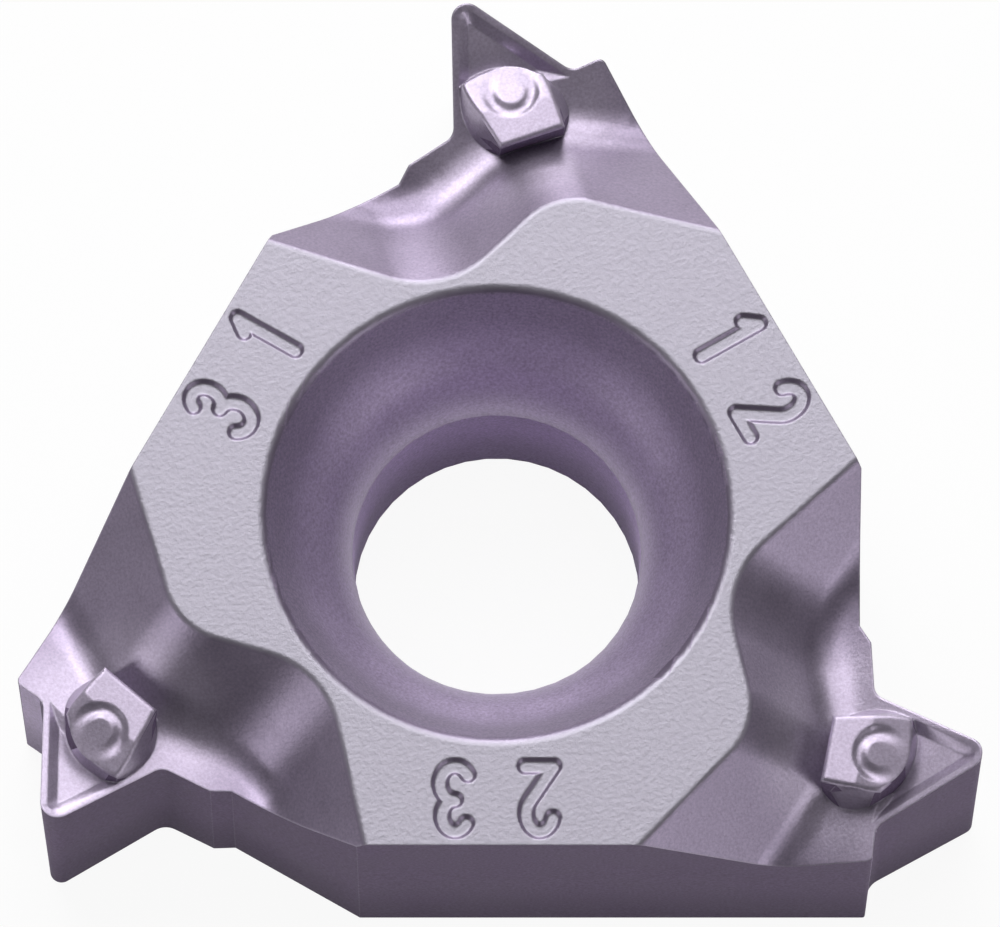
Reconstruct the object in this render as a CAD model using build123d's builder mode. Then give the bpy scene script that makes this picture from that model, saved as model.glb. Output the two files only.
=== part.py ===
from build123d import *
from math import asin, atan, atan2, cos, degrees, radians, sin, tan
import os

# A laydown threading insert for internal right-hand threads: one sintered carbide
# body with three indexable corners, one thread tooth at each, and a screw hole.
# Lengths are millimetres and angles degrees. The origin is the centre of the
# bottom face, on the axis of the hole. Each corner is drawn in its own frame: the
# tooth points along +Y and the corner's main side stands at the right, square to X.

# Body
inscribed_circle = 6.35
thickness = 3.05
corners = 3
first_corner = 30
side_relief = 1.0

# Outline of a corner, with heights measured out from the inscribed circle. The
# holder tilts the insert for clearance, so the tooth is drawn a little too tall.
thread_angle = 60
seat_tilt = 15
tooth_from_side = 0.97
root_width = 1.29
root_height = 0.36
tip_radius = 0.16
root_radius = 0.14
heel_height = 0.33
heel_radius = 0.08
toe_length = 0.50
toe_height = 0.33
toe_step = 0.17
shoulder_height = 0.225

# Chip trough. Its line on the plateau bends in towards the hole, where it leaves a
# narrow rim, and out again. The wall falls at one angle to the land of the tooth.
rim_width = 0.157
bend_in_turn = 17
bend_in_radius = 0.88
bend_out_from_side = 1.148
bend_out_below = 0.751
bend_out_radius = 0.70
line_before_angle = -47.5
line_after_angle = -43.8
wall_angle = 46
plateau_round = 0.10
valley_round = 0.48
rake_angle = 19
root_depth = 0.66

# Chip pocket in the top of the tooth, inside a narrow edge land, with the ends of
# its back line measured from the root line
edge_land = 0.07
pocket_depth = 0.06
pocket_wall_angle = 60
pocket_left_end = 0.26
pocket_right_end = -0.05

# Chip breaker, a block behind the pocket, its corners measured from the tooth's
# centre line and from the root line. A shallow round groove in it leaves an island.
breaker_depth = 0.34
breaker_left = 0.36
breaker_right = 0.36
breaker_back_right = 0.27
front_left_height = 0.32
front_right_height = 0.03
back_left_height = -0.41
back_right_height = -0.53
side_bulge = 0.18
front_bulge = 0.08
front_foot_bulge = 0.16
breaker_round = 0.05
ridge_height = -0.12
ridge_turn = -16
front_fall = 12
groove_left = 0.04
groove_forward = 0.15
groove_radius = 0.20
groove_width = 0.18
groove_depth = 0.06

# Screw hole: a rounded lip, a steep cone, a curved seat and a straight throat
cone_radius = 2.167
lip_round = 0.124
seat_radius = 1.82
seat_depth = 0.63
throat_radius = 1.34
throat_depth = 1.72

side = inscribed_circle / 2
sector = 360 / corners
flank_slope = tan(radians(thread_angle / 2)) * cos(radians(seat_tilt))
flank_angle = degrees(atan(flank_slope))
tooth_line = side - tooth_from_side
root_line = side + root_height
shoulder_line = side + shoulder_height
tip_line = root_line + root_width / 2 / flank_slope

# One sector of the outline, from the axis round the corner and back
heel = (side, side + heel_height)
heel_root = (tooth_line + root_width / 2, root_line)
tip = (tooth_line, tip_line)
toe_root = (tooth_line - root_width / 2, root_line)
toe = (toe_root[0] - toe_length, side + toe_height)
toe_foot = (toe[0] - toe_step, shoulder_line)
next_side = ((side - shoulder_line * sin(radians(sector))) / cos(radians(sector)), shoulder_line)
next_foot = (side * cos(radians(sector)), side * sin(radians(sector)))
rounds = ((heel, heel_radius), (heel_root, root_radius), (tip, tip_radius), (toe_root, root_radius))

with BuildSketch() as sector_outline:
    with BuildLine():
        Polyline((0, 0), (side, 0), heel, heel_root, tip, toe_root, toe)
        Polyline(toe, toe_foot, next_side, next_foot, (0, 0))
    make_face()
    for point, radius in rounds:
        fillet(sector_outline.vertices().sort_by_distance(point)[0], radius)

# The land that carries the cutting edges slopes down from the tooth to the hole
land = Plane(
    origin=(0, root_line, thickness - root_depth),
    x_dir=(1, 0, 0),
    z_dir=(0, -sin(radians(rake_angle)), cos(radians(rake_angle))),
)


def on_land(point):
    """A point of the plan, in the coordinates of the sloping land."""
    return (point[0], (point[1] - root_line) / cos(radians(rake_angle)))


def ray(angle):
    """Unit vector of the plan at this angle."""
    return Vector(cos(radians(angle)), sin(radians(angle)))


def recessed(bend, angle_before, angle_after, recess):
    """A bend of the wall line, moved into the cut by this recess from both its lines."""
    half_turn = (angle_after - angle_before) / 2
    return bend + ray(angle_before + half_turn + 90) * (recess / cos(radians(half_turn)))


# The trough is lofted between the wall line above the plateau and below the land,
# then cut off at the land and rounded along the valley
bend_in_centre = ray(90 - bend_in_turn) * (cone_radius + rim_width + bend_in_radius)
bend_out = Vector(side - bend_out_from_side, side - bend_out_below)
to_bend_out = bend_out - bend_in_centre
line_between_angle = degrees(atan2(to_bend_out.Y, to_bend_out.X) + asin(bend_in_radius / to_bend_out.length))
bend_in = recessed(bend_in_centre, line_before_angle, line_between_angle, -bend_in_radius)
wall_depth = root_depth + side * tan(radians(rake_angle))
overrun = 0.75 * side
outside = Vector(2 * overrun, 3 * overrun)
wall_pieces = 5

with BuildPart() as trough:
    for depth in (-plateau_round, wall_depth):
        recess = depth / tan(radians(wall_angle))
        inner = recessed(bend_in, line_before_angle, line_between_angle, recess)
        outer = recessed(bend_out, line_between_angle, line_after_angle, recess)
        start = inner - ray(line_before_angle) * overrun
        finish = outer + ray(line_after_angle) * overrun
        with BuildSketch(Plane.XY.offset(thickness - depth)):
            with BuildLine():
                FilletPolyline(start, inner, outer, finish, radius=[bend_in_radius, bend_out_radius])
                Polyline(finish, outside, start)
            make_face()
    loft(ruled=True)
    split(bisect_by=land, keep=Keep.TOP)
    trough_floor = trough.faces().filter_by(land)[0]
    fillet(trough_floor.edges().sort_by_distance((0, 0, thickness))[:wall_pieces], valley_round)


# The pocket follows both flanks inside the edge land and ends under the breaker
def inside_flank(height, hand):
    """A point inside the edge land of one flank, at this height over the root line."""
    half_width = (tip_line - root_line - height) * flank_slope - edge_land / cos(radians(flank_angle))
    return on_land((tooth_line + hand * half_width, root_line + height))


pocket_tip = on_land((tooth_line, tip_line - edge_land / sin(radians(flank_angle))))

with BuildPart() as pocket:
    with BuildSketch(land) as pocket_outline:
        with BuildLine():
            pocket_left = inside_flank(pocket_left_end, -1)
            pocket_right = inside_flank(pocket_right_end, 1)
            Polyline(pocket_tip, pocket_left, pocket_right, close=True)
        make_face()
        fillet(pocket_outline.vertices().sort_by(Axis.Y)[-1], tip_radius - edge_land)
    extrude(amount=-pocket_depth, taper=pocket_wall_angle)

# The breaker's sides bulge at the foot and run straight at the top. Its front bulges
# too, and its top falls towards the tooth. The groove is cut by a ring in that slope.
front_left = (tooth_line - breaker_left, root_line + front_left_height)
front_right = (tooth_line + breaker_right, root_line + front_right_height)
back_left = (tooth_line - breaker_left, root_line + back_left_height)
back_right = (tooth_line + breaker_back_right, root_line + back_right_height)
breaker_top = Plane.XY.offset(thickness - breaker_depth)
breaker_foot = land.offset(-2 * pocket_depth)
ridge = (tooth_line, root_line + ridge_height, thickness - breaker_depth)
forward = ray(ridge_turn + 90) * sin(radians(front_fall))
front_slope = Plane(ridge, x_dir=ray(ridge_turn), z_dir=forward + Vector(0, 0, cos(radians(front_fall))))

with BuildPart() as breaker:
    with BuildSketch(breaker_foot):
        with BuildLine():
            SagittaArc(on_land(front_left), on_land(front_right), front_foot_bulge)
            SagittaArc(on_land(front_right), on_land(back_right), side_bulge)
            Line(on_land(back_right), on_land(back_left))
            SagittaArc(on_land(back_left), on_land(front_left), side_bulge)
        make_face()
    with BuildSketch(breaker_top):
        with BuildLine():
            SagittaArc(front_left, front_right, front_bulge)
            Polyline(front_right, back_right, back_left, front_left)
        make_face()
    loft(ruled=True)
    split(bisect_by=front_slope, keep=Keep.BOTTOM)
    fillet(breaker.faces().sort_by(Axis.Z)[-2:].edges(), breaker_round)
    groove_section = (groove_width ** 2 / 4 + groove_depth ** 2) / (2 * groove_depth)
    with Locations(front_slope):
        with Locations((-groove_left, groove_forward, groove_section - groove_depth)):
            Torus(groove_radius, groove_section, mode=Mode.SUBTRACT)

with BuildPart() as corner_cut:
    add(trough.part)
    add(pocket.part)
    add(breaker.part, mode=Mode.SUBTRACT)

with BuildPart() as threading_insert:
    with BuildSketch(Plane.XY.offset(thickness)):
        with PolarLocations(0, corners, start_angle=first_corner):
            add(sector_outline.sketch)
    extrude(amount=-thickness)
    walls = threading_insert.faces().filter_by(Axis.Z, reverse=True)
    draft(walls, neutral_plane=Plane.XY.offset(thickness), angle=-side_relief)
    with PolarLocations(0, corners, start_angle=first_corner):
        add(corner_cut.part, mode=Mode.SUBTRACT)
    with BuildSketch(Plane.XZ):
        with BuildLine():
            throat_top = (throat_radius, thickness - throat_depth)
            seat_top = (seat_radius, thickness - seat_depth)
            TangentArc(throat_top, seat_top, tangent=(0, 1))
            Polyline(seat_top, (cone_radius, thickness), (0, thickness))
            Polyline((0, thickness), (0, 0), (throat_radius, 0), throat_top)
        make_face()
    revolve(axis=Axis.Z, mode=Mode.SUBTRACT)
    plateau = threading_insert.faces().sort_by(Axis.Z)[-1]
    fillet(plateau.inner_wires()[0].edges(), lip_round)
    plateau = threading_insert.faces().sort_by(Axis.Z)[-1]
    fillet(plateau.outer_wire().edges().filter_by(GeomType.BSPLINE), plateau_round)

threading_insert.part.label = "threading_insert"
os.makedirs("parts", exist_ok=True)
export_step(threading_insert.part, "parts/threading_insert.step")
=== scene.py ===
import bmesh
import bpy
from math import cos, hypot, radians, sin
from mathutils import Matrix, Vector
from mathutils.geometry import delaunay_2d_cdt


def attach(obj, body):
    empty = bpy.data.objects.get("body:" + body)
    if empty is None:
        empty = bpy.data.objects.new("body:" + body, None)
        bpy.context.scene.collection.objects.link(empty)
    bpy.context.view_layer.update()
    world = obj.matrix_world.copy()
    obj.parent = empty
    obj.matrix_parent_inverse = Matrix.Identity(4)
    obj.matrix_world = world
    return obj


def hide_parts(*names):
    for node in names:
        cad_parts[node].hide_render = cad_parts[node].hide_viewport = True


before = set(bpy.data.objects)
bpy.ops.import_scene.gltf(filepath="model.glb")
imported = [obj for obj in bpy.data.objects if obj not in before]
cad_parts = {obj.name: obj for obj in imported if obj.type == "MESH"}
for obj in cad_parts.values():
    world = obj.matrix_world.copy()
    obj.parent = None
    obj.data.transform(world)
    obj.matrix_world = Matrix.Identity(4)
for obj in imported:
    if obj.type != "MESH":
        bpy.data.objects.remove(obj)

# A coated threading insert seen from above at a slight tilt. Lengths are metres, and
# mm turns a length in millimetres into metres. Angles are degrees until radians turns
# them.
mm = 0.001

# The photograph's width in pixels, its viewing angle and its scale, and the nearest and
# the farthest that the camera sees, as shares of its distance
image_width = 1000
view_elevation = 75.2
pixels_per_metre = 106800
focal_length = 900
sensor_width = 36
object_middle = Vector((0.03, 0.79, 1.90)) * mm
nearest_seen = 0.1
farthest_seen = 4

# The finishes of the body, in the order of their material slots
pressed_top, chip_former, sunk_hole, painted_shade_flank, painted_light_throat = range(5)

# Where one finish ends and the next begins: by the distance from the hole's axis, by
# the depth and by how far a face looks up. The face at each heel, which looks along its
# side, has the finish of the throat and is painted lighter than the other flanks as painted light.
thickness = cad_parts["threading_insert"].dimensions.z
hole_edge_radius = 2.30 * mm
throat_edge_radius = 1.36 * mm
rim_depth = 0.10 * mm
rim_top_normal = 0.74
steepest_top_normal = 0.2
heel_face_start = 2.82 * mm
heel_face_end = 3.57 * mm
heel_face_normal = 0.9
smooth_limit = radians(24)

# Corner numbers in the plateau, and the fine grid that their strokes are sunk in. Each
# side shows the number of the corner at either end of it.
side_angles = (30, 150, 270)
numbers_by_side = ((2, 1), (1, 3), (3, 2))
number_radius = 2.73 * mm
number_spacing = 0.80 * mm
number_height = 0.62 * mm
number_width = 0.30 * mm
stroke_half_width = 0.042 * mm
stroke_wall = 0.050 * mm
stroke_depth = 0.038 * mm
patch_step = 0.010 * mm

# The round lip of the hole: its radius, and the height over its centre from which the
# normals are set
lip_round = 0.124 * mm
lip_foot = lip_round / 4

# The ring groove in each chip breaker: its middle in the frame of its corner, the slope
# it is cut in and its section. Then the height of the ridge behind it, the softer depth
# it is given, how slowly that fades, and how far from its middle the slope reaches.
groove_beside = 2.207 * mm
groove_along = 3.567 * mm
groove_height = 2.679 * mm
groove_turn = -16
groove_fall = radians(12)
groove_radius = 0.20 * mm
groove_width = 0.18 * mm
groove_depth = 0.06 * mm
groove_section = (groove_width ** 2 / 4 + groove_depth ** 2) / (2 * groove_depth)
ridge_height = 2.71 * mm
soft_depth = 0.030 * mm
fade_reach = 1.3
slope_reach = 0.8 * mm

# How near counts as close by, as on a surface and as the same point, and how well a
# normal of the mesh has to agree with the true one that takes its place
close = 1e-3 * mm
on_surface = 2e-4 * mm
same_point = 1e-4 * mm
merged_point = 1e-6 * mm
nearly_same = 0.85

# Coating: its colours, and how much its tone and sheen drift with clouds and grains
violet = (0.259, 0.218, 0.300)
# Painted highlight: the lighter colour of the level plateau
painted_level_highlight = (0.333, 0.315, 0.370)
# Painted sheen: the lighter colour of the lands and blocks by the teeth
painted_tooth_sheen = (0.463, 0.405, 0.515)
# Painted shade: the flanks' dark colour, darkest at the bottom and a little lighter higher up
painted_flank_low = (0.135, 0.101, 0.166)
painted_flank_high = (0.170, 0.128, 0.206)
# Part wear and part painted highlight: the lighter colour of the edges
worn_edge_highlight = (0.50, 0.46, 0.55)
tone_drift = 0.05
sheen_drift = 0.04
cloud_size = 0.6 * mm
cloud_detail = 5
grain_detail = 3
noise_roughness = 0.6
noise_low = 0.3
noise_high = 0.7

# Edges: how far they look rounded, and how much lighter they grow, part wear and part
# painted highlight. That starts at one cosine between the rounded and the true normal,
# and is full at another.
narrow_edge = 0.02 * mm
wide_edge = 0.03 * mm
edge_samples = 4
edge_wear_highlight = 0.5
edge_starts = 0.995
edge_full = 0.90

# Grit of a surface: the size and the height of its grains, and how they change its tone
coarse = (0.045 * mm, 0.004 * mm, 0.04)
fine = (0.028 * mm, 0.0015 * mm, 0.14)
dull = (0.028 * mm, 0.003 * mm, 0.20)

# Lustre of a surface: how metallic it is, and how strong its plain reflections are
lustrous = (0.7, 0.25)
matt = (0.0, 0.04)

# Where the painted light and shade begin: a painted highlight on what is level, by the
# upward part of its normal, then painted sheen round the teeth and on the blocks behind
# them, painted shade in the hole between its seat and its cone, and painted shade up the walls
tilted = 0.80
level = 0.995
tooth_beside = 2.10 * mm
tooth_along = 3.55 * mm
tooth_height = 2.5 * mm
sheen_near = 0.75 * mm
sheen_far = 1.35 * mm
sheen_share = 0.6
block_near = 0.40 * mm
block_far = 0.60 * mm
block_share = 0.08
seat_foot = 1.3 * mm
seat_rise = 0.4 * mm
cone_foot = 2.3 * mm
cone_rise = 0.5 * mm
cone_share = 0.45
rise_start = 0.2 * mm
rise_end = 1.4 * mm

# Floor: its lit colour, and how white it looks, from 0, that colour, to 1, plain white
paper = (0.85, 0.85, 0.85, 1)
floor_whiteness = 0.93
floor_reach = 0.5
floor_gap = 0.02 * mm

# Light: soft discs on a dome over the object, and a faint white world
dome_radius = 0.1
disc_size = 0.05
world_white = (1, 1, 1, 1)
world_strength = 0.02

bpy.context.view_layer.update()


def ray(angle):
    """Unit vector of the plan at this angle in degrees."""
    return Vector((cos(radians(angle)), sin(radians(angle))))


def eased(share):
    """A share kept between 0 and 1, which starts and ends gently."""
    share = max(0, min(1, share))
    return share * share * (3 - 2 * share)


# Camera
camera_data = bpy.data.cameras.new("camera")
camera = bpy.data.objects.new("camera", camera_data)
bpy.context.scene.collection.objects.link(camera)
bpy.context.scene.camera = camera
camera_data.lens = focal_length
camera_data.sensor_width = sensor_width
distance = image_width / pixels_per_metre * focal_length / sensor_width
elevation = radians(view_elevation)
towards_camera = Vector((0, -cos(elevation), sin(elevation)))
camera.location = object_middle + towards_camera * distance
camera.rotation_mode = "QUATERNION"
camera.rotation_quaternion = towards_camera.to_track_quat("Z", "Y")
camera_data.clip_start = distance * nearest_seen
camera_data.clip_end = distance * farthest_seen


# The corner numbers, as strokes in a box one unit high and one unit wide
def arc(middle, radii, start, end, pieces=18):
    """Points along an arc of an ellipse, from one angle to the other."""
    angles = [radians(start + (end - start) * i / pieces) for i in range(pieces + 1)]
    return [Vector((middle[0] + radii[0] * cos(a), middle[1] + radii[1] * sin(a))) for a in angles]


def stroke(*points):
    """Points of a stroke of straight lines."""
    return [Vector(point) for point in points]


numerals = {
    1: [stroke((-0.20, 0.30), (0.10, 0.50), (0.10, -0.50))],
    2: [arc((0, 0.22), (0.42, 0.28), 165, -35) + stroke((-0.42, -0.50), (0.45, -0.50))],
    3: [
        arc((-0.04, 0.26), (0.40, 0.24), 150, -90),
        arc((-0.04, -0.24), (0.46, 0.26), 90, -150),
    ],
}


def number_strokes(number, side_angle, along):
    """The strokes of a corner number on the plateau, its top to the insert's edge."""
    outward = ray(side_angle)
    across = ray(side_angle - 90)
    middle = outward * number_radius + across * along
    return [
        [middle + across * (p.x * number_width) + outward * (p.y * number_height) for p in points]
        for points in numerals[number]
    ]


def distance_to_strokes(point, strokes):
    """How far a point of the plan is from the nearest stroke."""
    nearest = number_height
    for points in strokes:
        for start, end in zip(points, points[1:]):
            run = end - start
            share = max(0, min(1, (point - start).dot(run) / run.length_squared))
            nearest = min(nearest, (point - start - run * share).length)
    return nearest


def sunk(point, strokes):
    """Depth of the stamped groove at a point: a flat bottom and soft walls."""
    outside = (distance_to_strokes(point, strokes) - stroke_half_width) / stroke_wall
    return stroke_depth * (1 - eased(outside))


def number_grids():
    """The points of a fine grid round each number, each with the depth it is sunk to."""
    margin = stroke_half_width + stroke_wall + 2 * patch_step
    half_rows = round((number_height / 2 + margin) / patch_step)
    half_columns = round((number_width / 2 + margin) / patch_step)
    for side_angle, numbers in zip(side_angles, numbers_by_side):
        outward = ray(side_angle)
        across = ray(side_angle - 90)
        for number, hand in zip(numbers, (1, -1)):
            along = hand * number_spacing / 2
            strokes = number_strokes(number, side_angle, along)
            for row in range(-half_rows, half_rows + 1):
                for column in range(-half_columns, half_columns + 1):
                    out = outward * (number_radius + row * patch_step)
                    point = out + across * (along + column * patch_step)
                    yield point, sunk(point, strokes)


# Body: the solid's mesh with its plateau meshed again to take the stamped numbers
def inside_rim(point, rim_lines):
    """Whether a point of the plan lies within the plateau's outline and outside its hole."""
    crossings = 0
    for start, end in rim_lines:
        if (start.y > point.y) != (end.y > point.y):
            share = (point.y - start.y) / (end.y - start.y)
            crossings += start.x + (end.x - start.x) * share > point.x
    return crossings % 2 == 1


def stamp_plateau(body):
    """Meshes the plateau again, fine round the numbers, and sinks their strokes in it."""
    top = max(vert.co.z for vert in body.verts)
    plateau = [
        face for face in body.faces
        if all(top - vert.co.z < same_point for vert in face.verts)
    ]
    rim = [edge for edge in body.edges if sum(face in plateau for face in edge.link_faces) == 1]
    rim_verts = list(dict.fromkeys(vert for edge in rim for vert in edge.verts))
    index = {vert: i for i, vert in enumerate(rim_verts)}
    rim_edges = [(index[edge.verts[0]], index[edge.verts[1]]) for edge in rim]
    rim_lines = [(edge.verts[0].co.xy, edge.verts[1].co.xy) for edge in rim]
    bmesh.ops.delete(body, geom=plateau, context="FACES_ONLY")

    points = [vert.co.xy for vert in rim_verts]
    depths = [0.0] * len(points)
    for point, depth in number_grids():
        points.append(point)
        depths.append(depth)

    whole_hull = 0
    meshed = delaunay_2d_cdt(points, rim_edges, [], whole_hull, merged_point)
    made, _, triangles, origins, _, _ = meshed
    verts = []
    for point, origin in zip(made, origins):
        if origin and origin[0] < len(rim_verts):
            verts.append(rim_verts[origin[0]])
        else:
            verts.append(body.verts.new((point.x, point.y, top - depths[origin[0]])))
    stamped = []
    for triangle in triangles:
        middle = sum((made[i] for i in triangle), Vector((0, 0))) / 3
        if inside_rim(middle, rim_lines):
            face = body.faces.new([verts[i] for i in triangle])
            face.normal_update()
            if face.normal.z < 0:
                face.normal_flip()
            stamped.append(face)
    return stamped


def groove_frames():
    """The middle of each chip breaker's groove, and three directions of its slope: across,
    downhill and out."""
    frames = []
    for side_angle in side_angles:
        middle = ray(side_angle) * groove_beside + ray(side_angle + 90) * groove_along
        across = ray(side_angle + groove_turn)
        fall = ray(side_angle + groove_turn + 90)
        frames.append((
            Vector((middle.x, middle.y, groove_height)),
            Vector((across.x, across.y, 0)),
            Vector((fall.x * cos(groove_fall), fall.y * cos(groove_fall), -sin(groove_fall))),
            Vector((fall.x * sin(groove_fall), fall.y * sin(groove_fall), cos(groove_fall))),
        ))
    return frames


def in_groove_frame(place, groove_frame):
    """How far across, downhill and out from the middle of a groove a point is."""
    middle, *directions = groove_frame
    return [(place - middle).dot(direction) for direction in directions]


def groove_level(across, downhill):
    """Height of a breaker's top against its slope. The top is level behind the ridge, and
    has a soft groove that fades out on the downhill side."""
    behind = (ridge_height - groove_height + downhill * sin(groove_fall)) / cos(groove_fall)
    roof = min(0.0, behind)
    radius = hypot(across, downhill)
    half_width_squared = groove_section ** 2 - (groove_section - groove_depth - roof) ** 2
    beside_squared = (radius - groove_radius) ** 2
    if beside_squared >= half_width_squared:
        return roof
    bell = (1 - beside_squared / half_width_squared) ** 2
    narrowing = half_width_squared / (groove_width ** 2 / 4)
    uphill = eased(fade_reach * (1 - downhill / radius) / 2)
    return roof - soft_depth * bell * narrowing * uphill


def soften_grooves(body):
    """Gives the ring groove in each chip breaker the soft section of pressed powder."""
    for groove_frame in groove_frames():
        out = groove_frame[-1]
        for vert in body.verts:
            across, downhill, height = in_groove_frame(vert.co, groove_frame)
            beside = hypot(across, downhill) - groove_radius
            round_ring = hypot(beside, height + groove_depth - groove_section)
            on_ring = abs(round_ring - groove_section) < close
            if on_ring and height < 0:
                vert.co += out * (groove_level(across, downhill) - height)


def slope_normals(mesh):
    """The true normals of the points on the breakers' slopes and in their soft grooves."""
    found = {}
    for groove_frame in groove_frames():
        _, across, downhill, out = groove_frame
        for vert in mesh.vertices:
            x, y, height = in_groove_frame(vert.co, groove_frame)
            if hypot(x, y) < slope_reach and abs(height - groove_level(x, y)) < on_surface:
                rise_across = groove_level(x + close, y) - groove_level(x - close, y)
                rise_downhill = groove_level(x, y + close) - groove_level(x, y - close)
                rise = (across * rise_across + downhill * rise_downhill) / (2 * close)
                found[vert.index] = (out - rise).normalized()
    return found


def true_normals(mesh):
    """Points the normals of the plateau straight up, rounds those of the hole's lip, and
    sets those of the breakers' slopes."""
    top = max(vert.co.z for vert in mesh.vertices)
    on_top = [top - vert.co.z < on_surface for vert in mesh.vertices]
    ring = min(vert.co.xy.length for vert, is_top in zip(mesh.vertices, on_top) if is_top)
    on_slope = slope_normals(mesh)
    normals = [corner.vector.copy() for corner in mesh.corner_normals]
    for loop in mesh.loops:
        place = mesh.vertices[loop.vertex_index].co
        beside = place.xy.length - ring
        height = place.z - top + lip_round
        true = normals[loop.index]
        if on_top[loop.vertex_index]:
            true = Vector((0, 0, 1))
        elif loop.vertex_index in on_slope:
            true = on_slope[loop.vertex_index]
        elif abs(hypot(beside, height) - lip_round) < close and height > lip_foot:
            radial = place.xy.normalized() * beside
            true = Vector((radial.x, radial.y, height)).normalized()
        if normals[loop.index].dot(true) > nearly_same:
            normals[loop.index] = true
    mesh.normals_split_custom_set(normals)


def at_heel(place, normal):
    """Whether a point of a wall is on the short face between heel and tooth, which is painted
    lighter as painted light.
    """
    for side_angle in side_angles:
        beside = place.xy.dot(ray(side_angle))
        along = place.xy.dot(ray(side_angle + 90))
        faces_along = normal.xy.dot(ray(side_angle + 90)) > heel_face_normal
        if faces_along and beside > heel_face_start and along < heel_face_end:
            return True
    return False


def finish_of(face, stamped):
    """Which finish a face has, by its place and by the way it looks."""
    middle = face.calc_center_median()
    radius = middle.xy.length
    on_rounded_rim = middle.z > thickness - rim_depth and face.normal.z > rim_top_normal
    if face in stamped or on_rounded_rim:
        return pressed_top
    if radius < throat_edge_radius:
        return painted_light_throat
    if radius < hole_edge_radius:
        return sunk_hole
    if face.normal.z < steepest_top_normal:
        return painted_light_throat if at_heel(middle, face.normal) else painted_shade_flank
    return chip_former


def make_body(node):
    """A copy of the solid's mesh with merged corners, stamped numbers and smooth shading."""
    body = bmesh.new()
    body.from_mesh(node.data)
    bmesh.ops.remove_doubles(body, verts=body.verts, dist=same_point)
    soften_grooves(body)
    stamped = set(stamp_plateau(body))
    loose = [vert for vert in body.verts if not vert.link_faces]
    bmesh.ops.delete(body, geom=loose, context="VERTS")
    body.normal_update()
    for face in body.faces:
        face.smooth = True
        face.material_index = finish_of(face, stamped)
    always_smooth = (pressed_top, sunk_hole)
    for edge in body.edges:
        soft = all(face.material_index in always_smooth for face in edge.link_faces)
        edge.smooth = soft or edge.calc_face_angle(0) < smooth_limit
    mesh = bpy.data.meshes.new("insert_body")
    body.to_mesh(mesh)
    body.free()
    piece = bpy.data.objects.new("insert_body", mesh)
    bpy.context.scene.collection.objects.link(piece)
    weighted = piece.modifiers.new("weighted_normals", "WEIGHTED_NORMAL")
    weighted.keep_sharp = True
    evaluated = piece.evaluated_get(bpy.context.evaluated_depsgraph_get())
    piece.data = bpy.data.meshes.new_from_object(evaluated)
    piece.modifiers.clear()
    true_normals(piece.data)
    return piece


# Materials, and the nodes they are made of
def new_material(name):
    """A node material, with its nodes, what links them, its shader and its output."""
    material = bpy.data.materials.new(name)
    material.use_nodes = True
    nodes = material.node_tree.nodes
    link = material.node_tree.links.new
    return material, nodes, link, nodes["Principled BSDF"], nodes["Material Output"]


def feed(link, value, socket):
    """Links an output to a socket, or sets the socket to a number, a vector or a colour."""
    if isinstance(value, bpy.types.NodeSocket):
        link(value, socket)
    else:
        socket.default_value = value


def arithmetic(nodes, link, operation, *values):
    """The result of a mathematical node on these outputs or numbers."""
    node = nodes.new("ShaderNodeMath")
    node.operation = operation
    for socket, value in zip(node.inputs, values):
        feed(link, value, socket)
    return node.outputs["Value"]


def compared(nodes, link, operation, *vectors):
    """The number that a vector node gives for two vectors."""
    node = nodes.new("ShaderNodeVectorMath")
    node.operation = operation
    for socket, vector in zip(node.inputs, vectors):
        feed(link, vector, socket)
    return node.outputs["Value"]


def scaled(nodes, link, colour, factor):
    """A colour made lighter or darker by a factor."""
    node = nodes.new("ShaderNodeVectorMath")
    node.operation = "SCALE"
    link(colour, node.inputs[0])
    link(factor, node.inputs["Scale"])
    return node.outputs["Vector"]


def mixed(nodes, link, share, first, second):
    """A colour between two, each one a colour or an output that gives one."""
    mix = nodes.new("ShaderNodeMix")
    mix.data_type = "RGBA"
    link(share, mix.inputs["Factor"])
    for name, colour in (("A", first), ("B", second)):
        socket = next(item for item in mix.inputs if item.name == name and item.type == "RGBA")
        if isinstance(colour, tuple):
            colour = (*colour, 1)
        feed(link, colour, socket)
    return next(item for item in mix.outputs if item.type == "RGBA")


def blended(nodes, link, share, first, second):
    """A shader between two, by a number or an output."""
    blend = nodes.new("ShaderNodeMixShader")
    feed(link, share, blend.inputs[0])
    link(first, blend.inputs[1])
    link(second, blend.inputs[2])
    return blend.outputs["Shader"]


def mapped(nodes, link, value, from_low, from_high, to_low, to_high, smooth=False):
    """A value carried from one range to another, and kept inside it."""
    node = nodes.new("ShaderNodeMapRange")
    node.interpolation_type = "SMOOTHSTEP" if smooth else "LINEAR"
    node.inputs["From Min"].default_value = from_low
    node.inputs["From Max"].default_value = from_high
    node.inputs["To Min"].default_value = to_low
    node.inputs["To Max"].default_value = to_high
    link(value, node.inputs["Value"])
    return node.outputs["Result"]


def noise(nodes, link, place, size, detail):
    """A noise texture whose lumps are about this size."""
    texture = nodes.new("ShaderNodeTexNoise")
    texture.inputs["Scale"].default_value = 1 / size
    texture.inputs["Detail"].default_value = detail
    texture.inputs["Roughness"].default_value = noise_roughness
    link(place, texture.inputs["Vector"])
    return texture.outputs["Fac"]


def drifting(nodes, link, lumps, middle, drift):
    """A value that drifts round its middle with the lumps of a noise texture."""
    return mapped(nodes, link, lumps, noise_low, noise_high, middle - drift, middle + drift)


def true_normal(nodes):
    """The normal of the surface itself."""
    return nodes.new("ShaderNodeNewGeometry").outputs["Normal"]


def upward(nodes, link, vector):
    """The vertical part of a place or a normal."""
    split = nodes.new("ShaderNodeSeparateXYZ")
    link(vector, split.inputs["Vector"])
    return split.outputs["Z"]


def level_highlight_share(nodes, link, place):
    """Painted highlight: one on the level plateau and none on the walls of its numbers, which are
    left darker as painted shade.
    """
    return mapped(nodes, link, upward(nodes, link, true_normal(nodes)), tilted, level, 0, 1)


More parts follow.
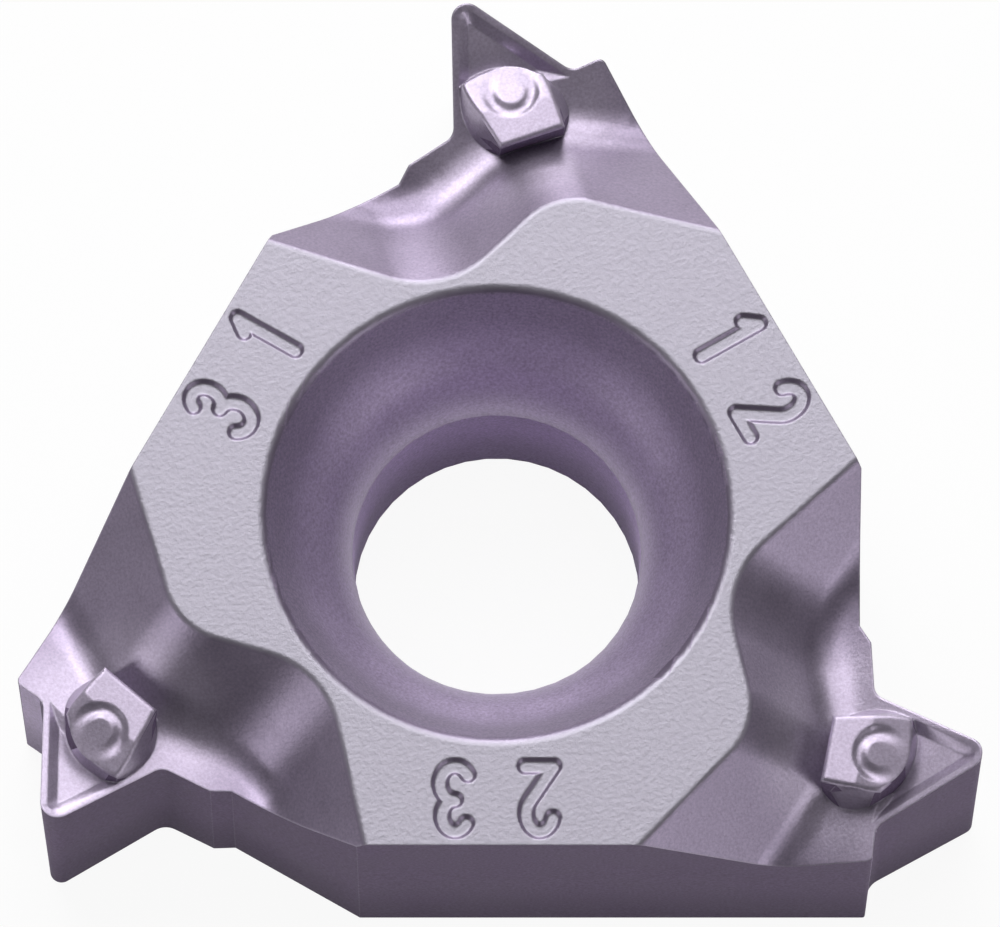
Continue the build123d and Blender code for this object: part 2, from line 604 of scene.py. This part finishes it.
def tooth_sheen_share(nodes, link, place):
    """Painted sheen: more close to a tooth and on the block behind it, and none away from it."""
    gaps = []
    for side_angle in side_angles:
        tooth = ray(side_angle) * tooth_beside + ray(side_angle + 90) * tooth_along
        gaps.append(compared(nodes, link, "DISTANCE", place, (tooth.x, tooth.y, tooth_height)))
    nearest = gaps.pop()
    for gap in gaps:
        nearest = arithmetic(nodes, link, "MINIMUM", nearest, gap)
    around = mapped(nodes, link, nearest, sheen_near, sheen_far, sheen_share, 0, smooth=True)
    block = mapped(nodes, link, nearest, block_near, block_far, block_share, 0, smooth=True)
    return arithmetic(nodes, link, "ADD", around, block)


def painted_hole_shade(nodes, link, place):
    """Painted shade in the hole: none at the foot of its seat, one over it and less again up in the
    cone.
    """
    height = upward(nodes, link, place)
    seat = mapped(nodes, link, height, seat_foot, seat_foot + seat_rise, 0, 1, smooth=True)
    cone = mapped(nodes, link, height, cone_foot, cone_foot + cone_rise, 1, cone_share, smooth=True)
    return arithmetic(nodes, link, "MULTIPLY", seat, cone)


def painted_rise_shade(nodes, link, place):
    """Painted shade: none at the bottom of the insert, which is darkest, and one from halfway up.
    """
    return mapped(nodes, link, upward(nodes, link, place), rise_start, rise_end, 0, 1, smooth=True)


def shade(factor):
    """The coating's violet, lighter or darker by this factor."""
    return tuple(part * factor for part in violet)


def coated(name, base, lighter, share, lustre, roughness, grit, edge_round):
    """The coating over a surface of this grit. It turns to the lighter colour by a share of
    painted light and shade, its tone and sheen drift a little, and its edges grow lighter,
    part wear and part painted highlight."""
    material, nodes, link, shader, _ = new_material(name)
    place = nodes.new("ShaderNodeTexCoord").outputs["Object"]
    grit_size, grit_height, grit_tone = grit
    metallic, specular = lustre
    grains = noise(nodes, link, place, grit_size, grain_detail)
    cloud = noise(nodes, link, place, cloud_size, cloud_detail)

    rounded = nodes.new("ShaderNodeBevel")
    rounded.samples = edge_samples
    rounded.inputs["Radius"].default_value = edge_round
    bump = nodes.new("ShaderNodeBump")
    bump.inputs["Distance"].default_value = grit_height
    link(grains, bump.inputs["Height"])
    link(rounded.outputs["Normal"], bump.inputs["Normal"])
    link(bump.outputs["Normal"], shader.inputs["Normal"])

    wide_tone = drifting(nodes, link, cloud, 1, tone_drift)
    fine_tone = drifting(nodes, link, grains, 1, grit_tone)
    tone = arithmetic(nodes, link, "MULTIPLY", wide_tone, fine_tone)
    # Painted light and shade: each finish turns to its lighter colour by its share
    plain = mixed(nodes, link, share(nodes, link, place), base, lighter)
    facing = compared(nodes, link, "DOT_PRODUCT", rounded.outputs["Normal"], true_normal(nodes))
    edge = mapped(nodes, link, facing, edge_starts, edge_full, 0, edge_wear_highlight)
    colour = mixed(nodes, link, edge, scaled(nodes, link, plain, tone), worn_edge_highlight)
    link(colour, shader.inputs["Base Color"])

    link(drifting(nodes, link, cloud, roughness, sheen_drift), shader.inputs["Roughness"])
    shader.inputs["Metallic"].default_value = metallic
    shader.inputs["Specular IOR Level"].default_value = specular
    return material


insert_body = make_body(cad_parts["threading_insert"])
finishes = (
    coated(
        "pressed_top", base=violet, lighter=painted_level_highlight, share=level_highlight_share,
        lustre=lustrous, roughness=0.42, grit=coarse, edge_round=narrow_edge,
    ),
    coated(
        "chip_former", base=shade(1.08), lighter=painted_tooth_sheen, share=tooth_sheen_share,
        lustre=lustrous, roughness=0.38, grit=fine, edge_round=wide_edge,
    ),
    # Painted shade: the hole is darker at the foot of its seat and up in its cone
    coated(
        "sunk_hole", base=shade(0.75), lighter=shade(1.75), share=painted_hole_shade,
        lustre=lustrous, roughness=0.50, grit=dull, edge_round=narrow_edge,
    ),
    coated(
        "painted_shade_flank", base=painted_flank_low, lighter=painted_flank_high, share=painted_rise_shade,
        lustre=matt, roughness=0.6, grit=dull, edge_round=narrow_edge,
    ),
    # Painted light and shade: the throat grows darker towards the bottom, and the heel faces are
    # painted lighter than the flanks
    coated(
        "painted_light_throat", base=shade(1.5), lighter=shade(2.35), share=painted_rise_shade,
        lustre=matt, roughness=0.6, grit=dull, edge_round=narrow_edge,
    ),
)
for finish in finishes:
    insert_body.data.materials.append(finish)
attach(insert_body, "root")
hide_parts("threading_insert")


# Floor
def make_paper():
    """Pale paper. It looks near white to the eye and in reflections, and keeps a faint
    shadow, while what it casts back on the object is its own lit colour."""
    material, nodes, link, shader, output = new_material("paper")
    shader.inputs["Base Color"].default_value = paper
    shader.inputs["Roughness"].default_value = 1.0
    shader.inputs["Specular IOR Level"].default_value = 0.0
    lit = shader.outputs["BSDF"]
    white = nodes.new("ShaderNodeEmission").outputs["Emission"]
    rays = nodes.new("ShaderNodeLightPath").outputs
    shown = arithmetic(nodes, link, "MAXIMUM", rays["Is Camera Ray"], rays["Is Glossy Ray"])
    shown = arithmetic(nodes, link, "MAXIMUM", shown, rays["Is Transmission Ray"])
    faint_shadow = blended(nodes, link, floor_whiteness, lit, white)
    link(blended(nodes, link, shown, lit, faint_shadow), output.inputs["Surface"])
    return material


def make_floor():
    """A plain square floor just under the object."""
    mesh = bpy.data.meshes.new("floor")
    corners = [(-1, -1, 0), (1, -1, 0), (1, 1, 0), (-1, 1, 0)]
    mesh.from_pydata([Vector(corner) * floor_reach for corner in corners], [], [(0, 1, 2, 3)])
    mesh.materials.append(make_paper())
    floor = bpy.data.objects.new("floor", mesh)
    floor.location.z = -floor_gap
    bpy.context.scene.collection.objects.link(floor)
    return floor


make_floor()


# Lamps, the strongest low at the back
def soft_disc(name, azimuth, elevation, watts):
    """A round lamp that looks at the object, from this compass angle and height in degrees."""
    data = bpy.data.lights.new(name, "AREA")
    data.shape = "DISK"
    data.size = disc_size
    data.energy = watts
    lamp = bpy.data.objects.new(name, data)
    bpy.context.scene.collection.objects.link(lamp)
    flat_part = ray(azimuth) * cos(radians(elevation))
    lamp.location = Vector((flat_part.x, flat_part.y, sin(radians(elevation)))) * dome_radius
    lamp.rotation_mode = "QUATERNION"
    lamp.rotation_quaternion = lamp.location.to_track_quat("Z", "Y")


soft_disc("back_low", azimuth=90, elevation=22, watts=0.052)
soft_disc("back_right", azimuth=60, elevation=50, watts=0.026)
soft_disc("back_left", azimuth=120, elevation=50, watts=0.043)
soft_disc("front_left", azimuth=207, elevation=22, watts=0.0165)
soft_disc("front_right", azimuth=318, elevation=22, watts=0.0185)
soft_disc("top", azimuth=90, elevation=75, watts=0.016)

world = bpy.data.worlds.new("world")
bpy.context.scene.world = world
world.use_nodes = True
background = world.node_tree.nodes["Background"]
background.inputs["Color"].default_value = world_white
background.inputs["Strength"].default_value = world_strength

bpy.context.scene.view_settings.view_transform = "Standard"
